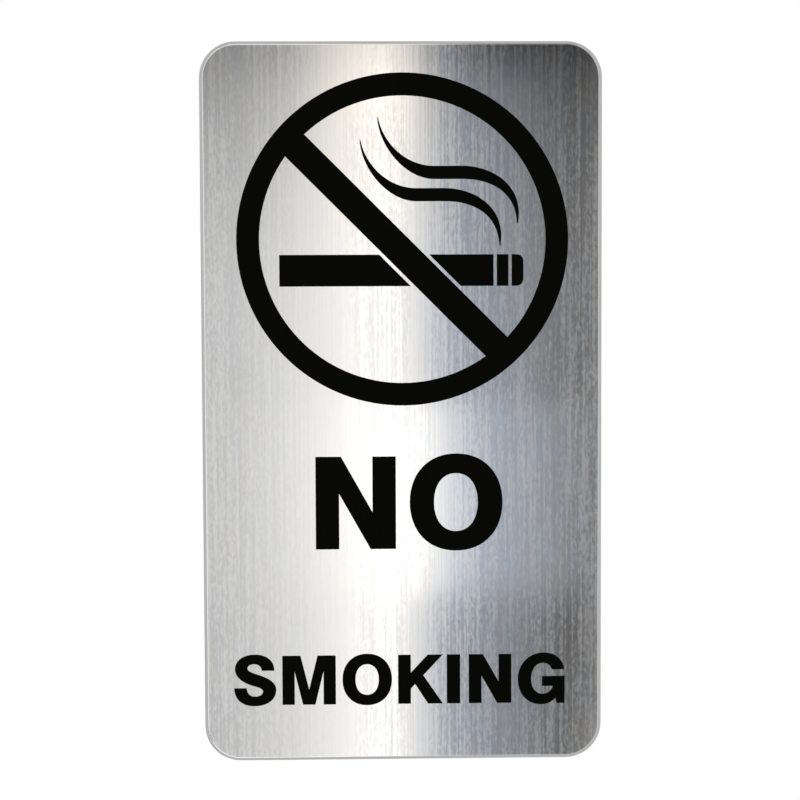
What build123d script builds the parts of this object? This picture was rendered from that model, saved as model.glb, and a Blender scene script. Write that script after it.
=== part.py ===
from build123d import *
import math
import os

# A no smoking sign for a wall or a door: a flat brushed steel plate with a
# black print on its front. It is fixed by its back, which has no holes.
# Millimetres. The front faces -Y, the back lies in the plane y = 0, +Z is up,
# and the origin is the middle of the back.

# Steel plate
plate_width = 100.0
plate_height = 180.0
plate_thickness = 1.5
plate_corner_radius = 9.0
plate_edge_round = 1.0  # the soft edge all round the front

# Print, which stands this much proud of the steel
ink_thickness = 0.08

# Ring
ring_side_margin = 8.7  # from the ring to the plate's sides
ring_top_margin = 7.75  # from the ring to the plate's top
ring_shift = 0.2  # the ring is printed a little right of the middle
ring_band = 5.65

# Bar, which falls from upper left to lower right, below the ring's centre
bar_angle = 45.0
bar_width = 7.2
bar_offset = 2.3  # from the ring's centre to the bar's centre line
bar_gap = 0.8  # bare steel between the bar and the cigarette

# Cigarette
cigarette_height = 7.85
cigarette_drop_ratio = 0.213  # how far below the ring's centre, as part of its inner radius
mouth_end_margin = 4.15  # from the mouth end to the ring
hot_end_margin = 4.7  # from the burning end to the ring
band_width = 2.9
hot_end_width = 2.95
hot_end_corner_radius = 1.7
cigarette_gap = 0.8  # bare steel beside the band

# Smoke: two equal wisps, one a step below and left of the other
smoke_thickness = 3.25
smoke_ring_gap = 4.7  # from the upper wisp's high tip to the ring
smoke_lean = 11.5  # degrees left of straight up, where that tip lies
smoke_rise = 7.7  # from the cigarette up to the upper wisp's low tip
smoke_inset = 1.1  # the upper wisp ends this far short of the burning end
smoke_step_across = 4.4
smoke_step_down = 5.5

# The run of a wisp, as parts of its width and height
smoke_level_ratio = 0.52  # how far down its level middle lies
smoke_level_start_ratio = 0.40
smoke_level_end_ratio = 0.60
smoke_bend_ratio = 0.20  # how far each bend leans on the level middle

# What follows from the sizes above
ring_outer_radius = plate_width / 2 - ring_side_margin
ring_inner_radius = ring_outer_radius - ring_band
ring_middle_radius = ring_outer_radius - ring_band / 2
ring_height = plate_height / 2 - ring_top_margin - ring_outer_radius

cigarette_drop = cigarette_drop_ratio * ring_inner_radius
cigarette_top = cigarette_height / 2 - cigarette_drop
cigarette_bottom = -cigarette_height / 2 - cigarette_drop
cigarette_room = math.sqrt(ring_inner_radius**2 - cigarette_drop**2)
mouth_end = mouth_end_margin - cigarette_room
hot_end = cigarette_room - hot_end_margin
hot_end_start = hot_end - hot_end_width
band_end = hot_end_start - cigarette_gap
band_start = band_end - band_width
paper_end = band_start - cigarette_gap

smoke_tip_radius = ring_inner_radius - smoke_ring_gap
smoke_left = -smoke_tip_radius * math.sin(math.radians(smoke_lean))
smoke_top = smoke_tip_radius * math.cos(math.radians(smoke_lean))
smoke_right = hot_end - smoke_inset
smoke_bottom = cigarette_top + smoke_rise

# The print is drawn on the plate's front, about the ring's centre
print_plane = Plane(
    origin=(ring_shift, -plate_thickness, ring_height), x_dir=(1, 0, 0), z_dir=(0, -1, 0)
)


def plate():
    """The steel plate, with round corners and a soft front edge."""
    outline = RectangleRounded(plate_width, plate_height, plate_corner_radius)
    body = extrude(Plane.XZ * outline, amount=plate_thickness)
    front = body.faces().sort_by(Axis.Y)[0]
    return fillet(front.edges(), plate_edge_round)


def ink(shape):
    """One flat patch of print, lying on the plate's front."""
    return extrude(print_plane * shape, amount=ink_thickness)


def ring_and_bar():
    """The ring and its bar, printed as one."""
    ring = Circle(ring_outer_radius) - Circle(ring_inner_radius)
    strip = Rectangle(2 * ring_outer_radius, bar_width)
    bar = Rot(0, 0, -bar_angle) * Pos(0, -bar_offset, 0) * strip
    return ink(ring + (bar & Circle(ring_middle_radius)))


def along_bar(side, height):
    """How far across a line beside the bar lies, at a height.

    The side is 1 above the bar and -1 below it.
    """
    distance = side * (bar_width / 2 + bar_gap) - bar_offset
    slope = math.radians(bar_angle)
    return (distance - height * math.cos(slope)) / math.sin(slope)


def paper_before_bar():
    """The cigarette's long part, from its mouth end to the bar."""
    return ink(
        Polygon(
            (mouth_end, cigarette_bottom),
            (along_bar(-1, cigarette_bottom), cigarette_bottom),
            (along_bar(-1, cigarette_top), cigarette_top),
            (mouth_end, cigarette_top),
            align=None,
        )
    )


def paper_after_bar():
    """The cigarette's short part, from the bar to the band."""
    return ink(
        Polygon(
            (along_bar(1, cigarette_bottom), cigarette_bottom),
            (paper_end, cigarette_bottom),
            (paper_end, cigarette_top),
            (along_bar(1, cigarette_top), cigarette_top),
            align=None,
        )
    )


def cigarette_band():
    """The narrow stripe before the burning end."""
    stripe = Rectangle(band_width, cigarette_height, align=(Align.MIN, Align.CENTER))
    return ink(Pos(band_start, -cigarette_drop, 0) * stripe)


def cigarette_hot_end():
    """The burning end, with its outer corners rounded."""
    block = Rectangle(hot_end_width, cigarette_height, align=(Align.MIN, Align.CENTER))
    outer_corners = block.vertices().sort_by(Axis.X)[-2:]
    rounded = fillet(outer_corners, hot_end_corner_radius)
    return ink(Pos(hot_end_start, -cigarette_drop, 0) * rounded)


def smoke_edge(place, level, high_tip, high_pull, low_pull, low_tip):
    """One long edge of a wisp: a bend, a level run and a bend down.

    The tips are where it starts and ends, and the pulls are what each bend
    leans towards beside its tip, as parts of the wisp's width and height.
    """
    start = place(smoke_level_start_ratio, level)
    end = place(smoke_level_end_ratio, level)
    lean_in = place(smoke_level_start_ratio - smoke_bend_ratio, level)
    lean_out = place(smoke_level_end_ratio + smoke_bend_ratio, level)
    first_bend = Bezier(place(*high_tip), place(*high_pull), lean_in, start)
    last_bend = Bezier(end, lean_out, place(*low_pull), place(*low_tip))
    return [first_bend, Line(start, end), last_bend]


def smoke_wisp(steps):
    """A wisp of smoke, so many steps below and left of the upper one."""
    left = smoke_left - steps * smoke_step_across
    top = smoke_top - steps * smoke_step_down
    width = smoke_right - smoke_left
    height = smoke_top - smoke_bottom
    half = smoke_thickness / 2 / height

    def place(across, down):
        return (left + across * width, top - down * height)

    upper = smoke_edge(
        place,
        smoke_level_ratio - half,
        high_tip=(0.006, 0.0),
        high_pull=(0.037, 0.24),
        low_pull=(1.04, 0.63),
        low_tip=(0.993, 1.0),
    )
    lower = smoke_edge(
        place,
        smoke_level_ratio + half,
        high_tip=(0.0, 0.0),
        high_pull=(0.01, 0.28),
        low_pull=(0.975, 0.70),
        low_tip=(0.986, 1.0),
    )
    high_tip = Line(lower[0] @ 0, upper[0] @ 0)
    low_tip = Line(upper[-1] @ 1, lower[-1] @ 1)
    return ink(make_face(upper + [low_tip] + lower + [high_tip]))


nodes = {
    "plate": plate(),
    "ring_and_bar": ring_and_bar(),
    "cigarette_long_part": paper_before_bar(),
    "cigarette_short_part": paper_after_bar(),
    "cigarette_band": cigarette_band(),
    "cigarette_hot_end": cigarette_hot_end(),
    "smoke_upper_wisp": smoke_wisp(0),
    "smoke_lower_wisp": smoke_wisp(1),
}

os.makedirs("parts", exist_ok=True)
for name, solid in nodes.items():
    export_step(solid, f"parts/{name}.step")
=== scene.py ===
import math

import bmesh
import bpy
from mathutils import Matrix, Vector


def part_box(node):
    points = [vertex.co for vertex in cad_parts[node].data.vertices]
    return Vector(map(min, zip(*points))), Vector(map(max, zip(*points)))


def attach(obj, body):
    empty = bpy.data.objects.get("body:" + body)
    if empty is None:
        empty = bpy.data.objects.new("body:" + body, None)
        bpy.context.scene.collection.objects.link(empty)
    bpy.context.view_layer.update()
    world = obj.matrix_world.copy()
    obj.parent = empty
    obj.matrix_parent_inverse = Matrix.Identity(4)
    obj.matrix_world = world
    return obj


# The looks of a no smoking sign: brushed steel, black print, the words below
# the ring, and the studio that the sign is shown in. Metres, in the frame of
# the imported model. The sign faces -Y.

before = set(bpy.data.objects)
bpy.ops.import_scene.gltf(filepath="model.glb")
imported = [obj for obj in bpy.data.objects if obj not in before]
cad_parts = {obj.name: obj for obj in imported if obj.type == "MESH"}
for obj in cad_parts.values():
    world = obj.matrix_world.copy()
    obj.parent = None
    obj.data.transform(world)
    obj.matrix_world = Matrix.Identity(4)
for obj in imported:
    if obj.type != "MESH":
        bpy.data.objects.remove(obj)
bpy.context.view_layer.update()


class Socket:
    """An output of a shader node, with the maths that the finishes need."""

    def __init__(self, shader, output):
        self.shader = shader
        self.output = output

    def calculate(self, operation, first, second):
        return self.shader.node("Math", {"operation": operation}, {0: first, 1: second})

    def __add__(self, other):
        return self.calculate("ADD", self, other)

    __radd__ = __add__

    def __sub__(self, other):
        return self.calculate("SUBTRACT", self, other)

    def __rsub__(self, other):
        return self.calculate("SUBTRACT", other, self)

    def __mul__(self, other):
        return self.calculate("MULTIPLY", self, other)

    __rmul__ = __mul__


class Shader:
    """The node tree of a material or of the world."""

    def __init__(self, owner):
        owner.use_nodes = True
        self.owner = owner
        self.tree = owner.node_tree
        self.tree.nodes.clear()

    def node(self, kind, settings=None, inputs=None, output=0):
        """Adds a node, with its settings first and then its inputs."""
        node = self.tree.nodes.new("ShaderNode" + kind)
        for name, setting in (settings or {}).items():
            if name == "stops":
                self.set_stops(node.color_ramp, setting)
            else:
                setattr(node, name, setting)
        for name, value in (inputs or {}).items():
            if isinstance(value, Socket):
                self.tree.links.new(value.output, node.inputs[name])
            else:
                node.inputs[name].default_value = value
        return Socket(self, node.outputs[output]) if node.outputs else None

    def set_stops(self, ramp, stops):
        """Gives a ramp its stops, each a place and a colour."""
        while len(ramp.elements) < len(stops):
            ramp.elements.new(1)
        for element, (place, colour) in zip(ramp.elements, stops):
            element.position = place
            element.color = colour

    def step(self, value, low, high):
        """Rises softly from 0 to 1 between low and high, or falls if low is higher."""
        if low > high:
            return 1 - self.step(value, high, low)
        return self.node(
            "MapRange",
            {"interpolation_type": "SMOOTHSTEP"},
            {"Value": value, "From Min": low, "From Max": high},
        )

    def mix(self, factor, first, second, blend="MIX"):
        """Mixes two colours."""
        return self.node(
            "Mix",
            {"data_type": "RGBA", "blend_type": blend},
            {"Factor": factor, 6: first, 7: second},
            output=2,
        )

    def axes(self, place):
        """How far a place lies along X, Y and Z."""
        return [self.node("SeparateXYZ", None, {0: place}, axis) for axis in "XYZ"]

    def noise(self, place, ripples, detail=1):
        """Noise with so many ripples per metre along each axis."""
        stretched = self.node(
            "VectorMath", {"operation": "MULTIPLY"}, {0: place, 1: ripples}
        )
        return self.node(
            "TexNoise", inputs={"Vector": stretched, "Scale": 1.0, "Detail": detail}
        )


def grey(level):
    """A grey of this level, from 0 for black to 1 for white."""
    return (level, level, level, 1)


WHITE, BLACK = grey(1.0), grey(0.0)

# Finishes. In a pair of heights or depths, the first is where something begins
# and the second is where it is full.

BRUSHED_FRONT = (-0.0003, -0.0006)
FINER_TOP = (0.06, 0.08)
PAINTED_SHEEN_HALF = (0.0, 0.02)  # the right half, measured from the sign's middle, where the steel mirrors dark light and the tints are painted stronger, a painted sheen
LEFT_TINT = 0.3  # how strong the tints are in the left half, beside 1 in the right, where the extra is painted sheen
WEAR_SHARE, STROKE_SHARE = 0.7, 0.3  # how much each makes the steel's shade uneven
HAIRLINE_DEPTH = 0.0000042

# Roughness of the steel, and what its back and a deep scratch add to it
STEEL_ROUGHNESS = 0.10
BACK_ROUGHNESS = 0.2
SCRATCH_ROUGHNESS = 0.088
TOP_SCRATCH_LESS = 0.033  # a scratch near the top adds so much less
ONE_WAY_BRUSHING = 0.5  # how much more light goes across the brushing than along

STEEL_TONES = [(0.785, 0.785, 0.78, 1), (0.832, 0.832, 0.827, 1)]
COOL_AND_WARM = [(0.976, 1.0, 1.024, 1), (1.024, 1.0, 0.976, 1)]


def brushed_steel():
    """Stainless steel, brushed along the sign's height, with a plain back."""
    steel = Shader(bpy.data.materials.new("brushed_steel"))
    place = steel.node("TexCoord", output="Object")
    across, depth, up = steel.axes(place)
    front = steel.step(depth, *BRUSHED_FRONT)

    hairlines = steel.noise(place, (1450, 1450, 13), detail=2)
    long_scratches = steel.noise(place, (1600, 1600, 15))
    short_scratches = steel.noise(place, (1650, 1650, 110))
    breaks = steel.noise(place, (1850, 1850, 700))
    broad_strokes = steel.noise(place, (230, 230, 9), detail=2)
    tint = steel.noise(place, (480, 480, 75), detail=2)

    # A deep scratch is paler, and scatters more light than the steel beside it
    scratches = long_scratches * 0.39 + short_scratches * 0.22 + breaks * 0.39
    wear = steel.step(scratches, 0.38, 0.64)
    coarse = SCRATCH_ROUGHNESS - steel.step(up, *FINER_TOP) * TOP_SCRATCH_LESS
    shade = steel.mix(wear * WEAR_SHARE + broad_strokes * STROKE_SHARE, *STEEL_TONES)

    # Faint tints of cool and warm lie over that shade. They are painted stronger on the
    # right half, where the steel mirrors dark light: a painted sheen
    hue = steel.mix(steel.step(tint, 0.3, 0.7), *COOL_AND_WARM)
    tint_and_painted_sheen = front * (steel.step(across, *PAINTED_SHEEN_HALF) * (1 - LEFT_TINT) + LEFT_TINT)
    colour = steel.mix(tint_and_painted_sheen, shade, steel.mix(1.0, shade, hue, blend="MULTIPLY"))
    height = hairlines * front
    bump = steel.node(
        "Bump", inputs={"Strength": 1.0, "Distance": HAIRLINE_DEPTH, "Height": height}
    )
    roughness = wear * coarse + (1 - front) * BACK_ROUGHNESS + STEEL_ROUGHNESS
    surface = steel.node(
        "BsdfPrincipled",
        inputs={
            "Base Color": colour,
            "Metallic": 1.0,
            "Roughness": roughness,
            "Anisotropic": ONE_WAY_BRUSHING,
            "Normal": bump,
        },
    )
    steel.node("OutputMaterial", inputs={"Surface": surface})
    return steel.owner


INK_TONES = [(0.0016, 0.0018, 0.0010, 1), (0.0023, 0.0025, 0.0015, 1)]
INK_ROUGHNESS, MOTTLE_ROUGHNESS = 0.55, 0.15
INK_SHINE = 0.02
TOOTH_DEPTH = 0.00001


def black_print():
    """Matte black ink, with the faint unevenness of a screen print."""
    ink = Shader(bpy.data.materials.new("black_print"))
    place = ink.node("TexCoord", output="Object")
    mottle = ink.noise(place, (900, 900, 900), detail=3)
    tooth = ink.noise(place, (6000, 6000, 6000))
    bump = ink.node(
        "Bump", inputs={"Strength": 0.3, "Distance": TOOTH_DEPTH, "Height": tooth}
    )
    surface = ink.node(
        "BsdfPrincipled",
        inputs={
            "Base Color": ink.mix(mottle, *INK_TONES),
            "Roughness": INK_ROUGHNESS + mottle * MOTTLE_ROUGHNESS,
            "Specular IOR Level": INK_SHINE,
            "Normal": bump,
        },
    )
    ink.node("OutputMaterial", inputs={"Surface": surface})
    return ink.owner


# The words, in plain upright capitals. A letter is drawn in parts of its own
# height, from its lower left. A point is a corner, or it has two handles: how
# far the curve leans out of it, back to the point before and ahead to the next.


def letter_n(stem, notch, foot):
    width = 0.863
    half = [(0, 0), (stem, 0), (stem, notch), (width - foot, 0), (width, 0)]
    return [half + [(width - x, 1 - z) for x, z in half]]


def oval(x, z, half_width, half_height, fullness):
    wide, tall = half_width * fullness, half_height * fullness
    return [
        (x + half_width, z, (0, -tall), (0, tall)),
        (x, z + half_height, (wide, 0), (-wide, 0)),
        (x - half_width, z, (0, tall), (0, -tall)),
        (x, z - half_height, (-wide, 0), (wide, 0)),
    ]


def letter_o():
    outside = oval(0.5, 0.503, 0.5, 0.525, 0.60)
    inside = oval(0.4975, 0.5025, 0.2355, 0.313, 0.61)
    return [outside, inside]


def letter_m():
    width = 1.08
    middle = (width / 2, 0.31)
    left = [(0.368, 1), (0, 1), (0, 0), (0.248, 0), (0.248, 0.675), (0.415, 0)]
    return [[middle] + left + [(width - x, z) for x, z in reversed(left)]]


def letter_k():
    arm = [(0.258, 0.31), (0.345, 0.40), (0.605, 0), (0.905, 0), (0.51, 0.58)]
    top = [(0.905, 1), (0.6, 1), (0.258, 0.635), (0.258, 1), (0, 1)]
    return [[(0, 0), (0.258, 0)] + arm + top]


def letter_i():
    return [[(0, 0), (0.27, 0), (0.27, 1), (0, 1)]]


def letter_s():
    return [
        [
            (0.815, 0.70, (0, 0), (-0.005, 0.20)),
            (0.42, 1.03, (0.25, 0), (-0.24, 0)),
            (0.02, 0.735, (0, 0.17), (0, -0.15)),
            (0.35, 0.403, (-0.20, 0.068), (0.10, -0.034)),
            (0.582, 0.275, (0, 0.07), (0, -0.065)),
            (0.42, 0.172, (0.09, 0), (-0.10, 0)),
            (0.255, 0.345, (0.008, -0.11), (0, 0)),
            (0.0, 0.345, (0, 0), (0.01, -0.23)),
            (0.41, -0.022, (-0.25, 0), (0.27, 0)),
            (0.85, 0.305, (0, -0.19), (0, 0.15)),
            (0.5, 0.612, (0.21, -0.071), (-0.10, 0.035)),
            (0.272, 0.745, (0, -0.06), (0, 0.055)),
            (0.41, 0.835, (-0.08, 0), (0.09, 0)),
            (0.56, 0.70, (-0.008, 0.08), (0, 0)),
        ]
    ]


def letter_g():
    return [
        [
            (0.94, 0.677, (0, 0), (-0.01, 0.18)),
            (0.53, 1.022, (0.25, 0), (-0.31, 0)),
            (0.0, 0.49, (0, 0.30), (0, -0.31)),
            (0.47, -0.035, (-0.29, 0), (0.14, 0)),
            (0.765, 0.095, (-0.07, -0.075), (0, 0)),
            (0.785, -0.012),
            (0.95, -0.012),
            (0.95, 0.54),
            (0.493, 0.54),
            (0.493, 0.338),
            (0.705, 0.338, (0, 0), (-0.015, -0.09)),
            (0.5, 0.178, (0.11, 0), (-0.14, 0)),
            (0.27, 0.485, (0, -0.18), (0, 0.19)),
            (0.50, 0.812, (-0.13, 0), (0.11, 0)),
            (0.69, 0.677, (-0.03, 0.08), (0, 0)),
        ]
    ]


def add_outline(curve, points, left, baseline, height):
    """Adds one closed line of a letter, at its place on the sign."""

    def on_sign(x, z):
        return (left + height * x, baseline + height * z, 0)

    spline = curve.splines.new("BEZIER")
    spline.bezier_points.add(len(points) - 1)
    spline.use_cyclic_u = True
    for knot, (x, z, *handles) in zip(spline.bezier_points, points):
        back, ahead = handles or ((0, 0), (0, 0))
        knot.handle_left_type = knot.handle_right_type = "FREE"
        knot.co = on_sign(x, z)
        knot.handle_left = on_sign(x + back[0], z + back[1])
        knot.handle_right = on_sign(x + ahead[0], z + ahead[1])


def word(name, baseline, height, letters, material):
    """A word of print on the plate, as thick as the ring, in one mesh."""
    curve = bpy.data.curves.new(name, "CURVE")
    curve.dimensions = "2D"
    curve.fill_mode = "BOTH"
    curve.resolution_u = 16
    for left, outlines in letters:
        for points in outlines:
            add_outline(curve, points, left, baseline, height)
    steel_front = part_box("plate")[0].y
    print_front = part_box("ring_and_bar")[0].y
    curve.extrude = (steel_front - print_front) / 2
    drawn = bpy.data.objects.new(name, curve)
    bpy.context.scene.collection.objects.link(drawn)
    seen = drawn.evaluated_get(bpy.context.evaluated_depsgraph_get())
    mesh = bpy.data.meshes.new_from_object(seen)
    bpy.data.objects.remove(drawn)
    middle = Matrix.Translation((0, (steel_front + print_front) / 2, 0))
    mesh.transform(middle @ Matrix.Rotation(math.radians(90), 4, "X"))
    mesh.materials.clear()
    mesh.materials.append(material)
    piece = bpy.data.objects.new(name, mesh)
    bpy.context.scene.collection.objects.link(piece)
    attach(piece, "root")


NO_BASELINE, NO_HEIGHT = -0.03641, 0.02330
SMOKING_BASELINE, SMOKING_HEIGHT = -0.07573, 0.01245


def words(material):
    """The two words, each letter with its left side in metres."""
    word(
        "word_no",
        NO_BASELINE,
        NO_HEIGHT,
        [
            (-0.02182, letter_n(stem=0.252, notch=0.60, foot=0.2735)),
            (0.00176, letter_o()),
        ],
        material,
    )
    word(
        "word_smoking",
        SMOKING_BASELINE,
        SMOKING_HEIGHT,
        [
            (-0.04261, letter_s()),
            (-0.03047, letter_m()),
            (-0.01534, letter_o()),
            (-0.00133, letter_k()),
            (0.01097, letter_i()),
            (0.01649, letter_n(stem=0.258, notch=0.56, foot=0.288)),
            (0.02890, letter_g()),
        ],
        material,
    )


def finish_cad_parts(steel, ink):
    """Gives the plate its steel, and each patch of print its ink."""
    for name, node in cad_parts.items():
        node.data.materials.clear()
        node.data.materials.append(steel if name == "plate" else ink)


# The studio


def add_stage(name, mesh_maker, material):
    """Adds something of the studio, which is no part of the sign."""
    shape = bmesh.new()
    mesh_maker(shape)
    mesh = bpy.data.meshes.new(name)
    shape.to_mesh(mesh)
    shape.free()
    mesh.materials.append(material)
    thing = bpy.data.objects.new(name, mesh)
    bpy.context.scene.collection.objects.link(thing)
    return thing


# The tent of light that the steel mirrors. A place on it is given by its turn,
# in degrees to the right of straight before the sign, and its height in metres.
# In a pair of these too, the first is where a part of the light begins and the
# second is where it is full.

TENT_RADIUS = 0.3
TENT_STRENGTH = 2.0
RAMP_SPAN = 120  # degrees of turn that the ramp below covers, half on each side

NEAR_LEFT, NEAR_RIGHT = (-30.0, -17.0), (32.0, 19.0)
BAND_LEFT, BAND_RIGHT = (-8.0, -3.2), (7.0, 2.0)
MOVED_RIGHT = (-1.0, 3.5)
PALER_RIGHT = (2.0, 6.0)
FOOT_RIGHT = (1.5, 6.0)
RIGHT_PART = (4.0, 8.0)
FAR_RIGHT = (9.5, 15.0)

ABOVE_NO_FOOT, BELOW_NO_HEAD = (-0.099, -0.087), (-0.0125, -0.0225)
UNDER_NO = (-0.089, -0.102)
HIGH_PART, TOP_PART = (0.02, 0.15), (0.10, 0.125)
LOW_PART, LOW_PART_FADES = (-0.084, -0.104), (-0.125, -0.14)
WARM_PART = (0.02, 0.12)
TOP_FRAME, FOOT_FRAME = (0.13, 0.145), (-0.158, -0.17)
ROOF, GROUND = (0.215, 0.25), (-0.205, -0.235)

WARM_LIGHT = (1.07, 1.0, 0.91, 1)
TOP_TONES = [grey(0.47), grey(0.09)]  # left, right
FOOT_TONES = [grey(0.62), grey(0.30)]
OUTER_TONE = grey(0.265)

TONES_ACROSS = [
    (-59, grey(0.28)),
    (-34, grey(0.25)),
    (-28.5, grey(0.62)),
    (-23.5, grey(0.62)),
    (-18, grey(0.32)),
    (-13, grey(0.28)),
    (-7, grey(0.43)),
    (-2.5, grey(0.57)),
    (-0.4, grey(0.82)),
    (1, grey(0.82)),
    (2.8, grey(0.46)),
    (4.4, (0.178, 0.21, 0.267, 1)),
    (8, (0.155, 0.173, 0.205, 1)),
    (11, (0.14, 0.148, 0.16, 1)),
    (15.4, grey(0.06)),
    (17, grey(0.10)),
    (20, grey(0.22)),
    (33, grey(0.38)),
    (44, grey(0.26)),
    (54, grey(0.28)),
]


def tone_across(light, turn):
    """The tent's tone at a turn, before its height changes it."""
    stops = [(degrees / RAMP_SPAN + 0.5, tone) for degrees, tone in TONES_ACROSS]
    place = turn * (1 / RAMP_SPAN) + 0.5
    return light.node("ValToRGB", {"stops": stops}, {"Fac": place})


def view_before(light, turn, z, near):
    """A bright band, between a pale wall on its left and a dark one on its
    right. Only what is near the front changes with the height."""
    about_no = light.step(z, *ABOVE_NO_FOOT) * light.step(z, *BELOW_NO_HEAD) * near
    under_no = light.step(z, *UNDER_NO) * near
    top = light.step(z, *TOP_PART) * near
    high = light.step(z, *HIGH_PART) * near
    band = light.step(turn, *BAND_LEFT) * light.step(turn, *BAND_RIGHT)
    right_part = light.step(turn, *RIGHT_PART)
    far_right = light.step(turn, *FAR_RIGHT)
    faded = 1 - light.step(z, *LOW_PART_FADES) * 0.6
    low = light.step(z, *LOW_PART) * faded * right_part * near

    # How many degrees further right the band reaches
    reach = about_no * 1.5 - top * 0.7 - under_no * 0.25
    tone = tone_across(light, turn - reach * light.step(turn, *MOVED_RIGHT))

    # What share of the light each part gains or loses
    no_gain = light.step(turn, *PALER_RIGHT) * 0.20 + 0.05
    high_loss = 0.50 - band * 0.44 + right_part * 0.02 + far_right * 0.12
    top_loss = 0.28 - band * 0.10 + right_part * 0.42
    low_loss = 0.08 + far_right * 0.14
    level = (1 + about_no * no_gain) * (1 - high * high_loss)
    level = level * (1 - top * top_loss) * (1 - low * low_loss)
    lit = light.node("VectorMath", {"operation": "SCALE"}, {0: tone, "Scale": level})
    warm = band * (light.step(z, *WARM_PART) * 0.6 + 0.4)
    return light.mix(warm, lit, WARM_LIGHT, blend="MULTIPLY")


def frame_round(light, turn, z, near, view):
    """That view with a strip above and below it, and plain grey further up and
    down, which the rims mirror."""
    top_tone = light.mix(light.step(turn, *RIGHT_PART), *TOP_TONES)
    foot_tone = light.mix(light.step(turn, *FOOT_RIGHT), *FOOT_TONES)
    above = light.mix(light.step(z, *TOP_FRAME) * near, view, top_tone)
    below = light.mix(light.step(z, *FOOT_FRAME) * near, above, foot_tone)
    outside = light.step(z, *ROOF) + light.step(z, *GROUND)
    return light.mix(outside, below, OUTER_TONE)


def tent_light():
    """The tent's light, which is a plain grey at the sides and behind."""
    light = Shader(bpy.data.materials.new("tent_light"))
    x, y, z = light.axes(light.node("TexCoord", output="Object"))
    radians = light.node("Math", {"operation": "ARCTAN2"}, {0: x, 1: 0 - y})
    turn = radians * (180 / math.pi)
    near = light.step(turn, *NEAR_LEFT) * light.step(turn, *NEAR_RIGHT)
    view = view_before(light, turn, z, near)
    surface = light.node(
        "BsdfPrincipled",
        inputs={
            "Base Color": BLACK,
            "Roughness": 1.0,
            "Specular IOR Level": 0.0,
            "Emission Color": frame_round(light, turn, z, near, view),
            "Emission Strength": TENT_STRENGTH,
        },
    )
    light.node("OutputMaterial", inputs={"Surface": surface})
    light.owner.cycles.emission_sampling = "NONE"
    return light.owner


def light_tent():
    """A tent of light round the sign, which only its reflections show."""
    tent = add_stage(
        "light_tent",
        lambda shape: bmesh.ops.create_uvsphere(
            shape, u_segments=96, v_segments=48, radius=TENT_RADIUS
        ),
        tent_light(),
    )
    tent.visible_camera = False
    tent.visible_diffuse = False
    tent.visible_transmission = False
    tent.visible_volume_scatter = False
    tent.visible_shadow = False


def camera_and_mirror_rays(shader):
    """1 where the camera, a mirror or a glass looks, and 0 for other light."""
    seen = [
        shader.node("LightPath", output=kind)
        for kind in ("Is Camera Ray", "Is Glossy Ray", "Is Transmission Ray")
    ]
    return 1 - (1 - seen[0]) * (1 - seen[1]) * (1 - seen[2])


FLOOR_HEIGHT, FLOOR_RADIUS = -0.31, 8.0
FLOOR_PAINT = grey(0.86)
WHITE_FROM = (0.35, 0.65)  # how far out the floor turns white
WHITE_BELOW = 0.55  # how white it is shown below the sign


def floor_paint():
    """A pale floor that keeps the sign's shadow and is white further out."""
    paint = Shader(bpy.data.materials.new("pale_floor"))
    place = paint.node("TexCoord", output="Object")
    away = paint.node("VectorMath", {"operation": "LENGTH"}, {0: place}, output="Value")
    pale = paint.node(
        "BsdfPrincipled",
        inputs={"Base Color": FLOOR_PAINT, "Roughness": 0.9, "Specular IOR Level": 0.1},
    )
    white = paint.node("Emission", inputs={"Color": WHITE, "Strength": 1.0})
    whiteness = WHITE_BELOW + paint.step(away, *WHITE_FROM) * (1 - WHITE_BELOW)
    share = camera_and_mirror_rays(paint) * whiteness
    surface = paint.node("MixShader", inputs={0: share, 1: pale, 2: white})
    paint.node("OutputMaterial", inputs={"Surface": surface})
    return paint.owner


def pale_floor():
    """The floor, well below the sign, which hangs by its back."""
    floor = add_stage(
        "floor",
        lambda shape: bmesh.ops.create_circle(
            shape, cap_ends=True, radius=FLOOR_RADIUS, segments=64
        ),
        floor_paint(),
    )
    floor.location = (0, 0, FLOOR_HEIGHT)


SOFT_LIGHT = 0.48


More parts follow.
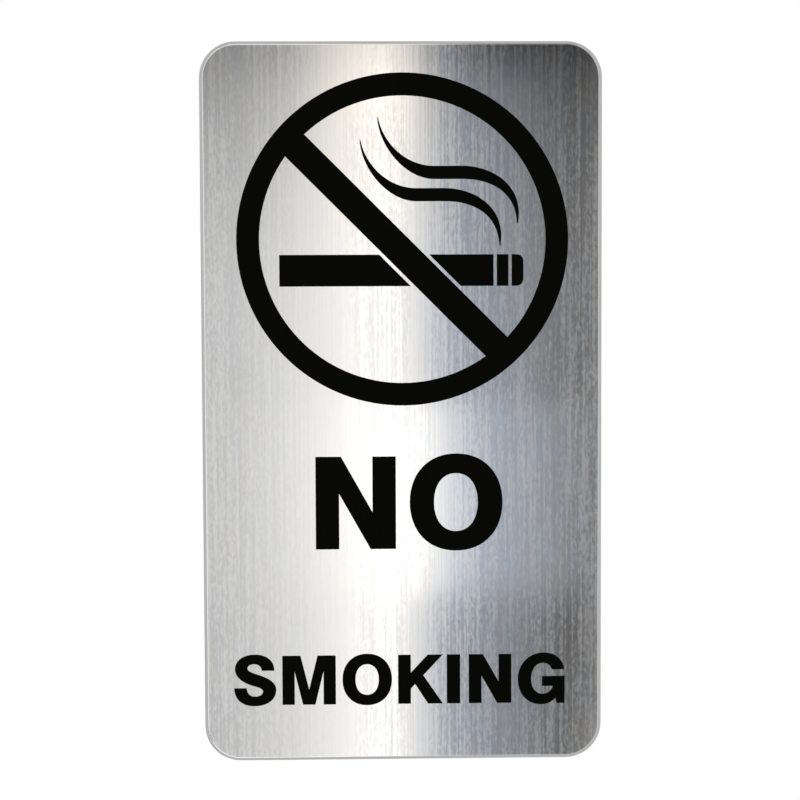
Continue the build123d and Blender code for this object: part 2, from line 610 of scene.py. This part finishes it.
def white_world():
    """White behind all, and a softer light from all round."""
    world = bpy.data.worlds.new("studio")
    bpy.context.scene.world = world
    air = Shader(world)
    soft = air.node("Background", inputs={"Color": WHITE, "Strength": SOFT_LIGHT})
    white = air.node("Background", inputs={"Color": WHITE, "Strength": 1.0})
    surface = air.node(
        "MixShader", inputs={0: camera_and_mirror_rays(air), 1: soft, 2: white}
    )
    air.node("OutputWorld", inputs={"Surface": surface})


LAMP_SIZE = 0.9


def soft_lamp(name, place, power):
    """A square soft lamp that faces the sign, with its power in watts."""
    data = bpy.data.lights.new(name, "AREA")
    data.size = LAMP_SIZE
    data.energy = power
    lamp = bpy.data.objects.new(name, data)
    lamp.location = place
    lamp.rotation_euler = (-lamp.location).to_track_quat("-Z", "Y").to_euler()
    lamp.visible_camera = False
    lamp.visible_glossy = False
    bpy.context.scene.collection.objects.link(lamp)


def lamps():
    soft_lamp("key_lamp", (-0.7, -1.1, 1.1), 12)
    soft_lamp("fill_lamp", (1.0, -0.9, 0.6), 5)
    soft_lamp("back_lamp", (0.3, 1.2, 0.9), 7)


CAMERA_PLACE = (-0.0138, -0.5, 0.0317)
CAMERA_TURN, CAMERA_TIP, CAMERA_ROLL = -1.519, -3.519, -0.227  # degrees
SENSOR_WIDTH, LENS = 36, 89.96  # millimetres


def camera():
    """Stands a little left of the sign and above its middle."""
    data = bpy.data.cameras.new("camera")
    data.sensor_width = SENSOR_WIDTH
    data.lens = LENS
    body = bpy.data.objects.new("camera", data)
    turned = Matrix.Rotation(math.radians(CAMERA_TURN), 4, "Z")
    tipped = Matrix.Rotation(math.radians(90 + CAMERA_TIP), 4, "X")
    rolled = Matrix.Rotation(math.radians(CAMERA_ROLL), 4, "Z")
    body.matrix_world = Matrix.Translation(CAMERA_PLACE) @ turned @ tipped @ rolled
    bpy.context.scene.collection.objects.link(body)
    bpy.context.scene.camera = body


camera()
ink = black_print()
finish_cad_parts(brushed_steel(), ink)
words(ink)
light_tent()
pale_floor()
white_world()
lamps()
bpy.context.scene.view_settings.view_transform = "Standard"
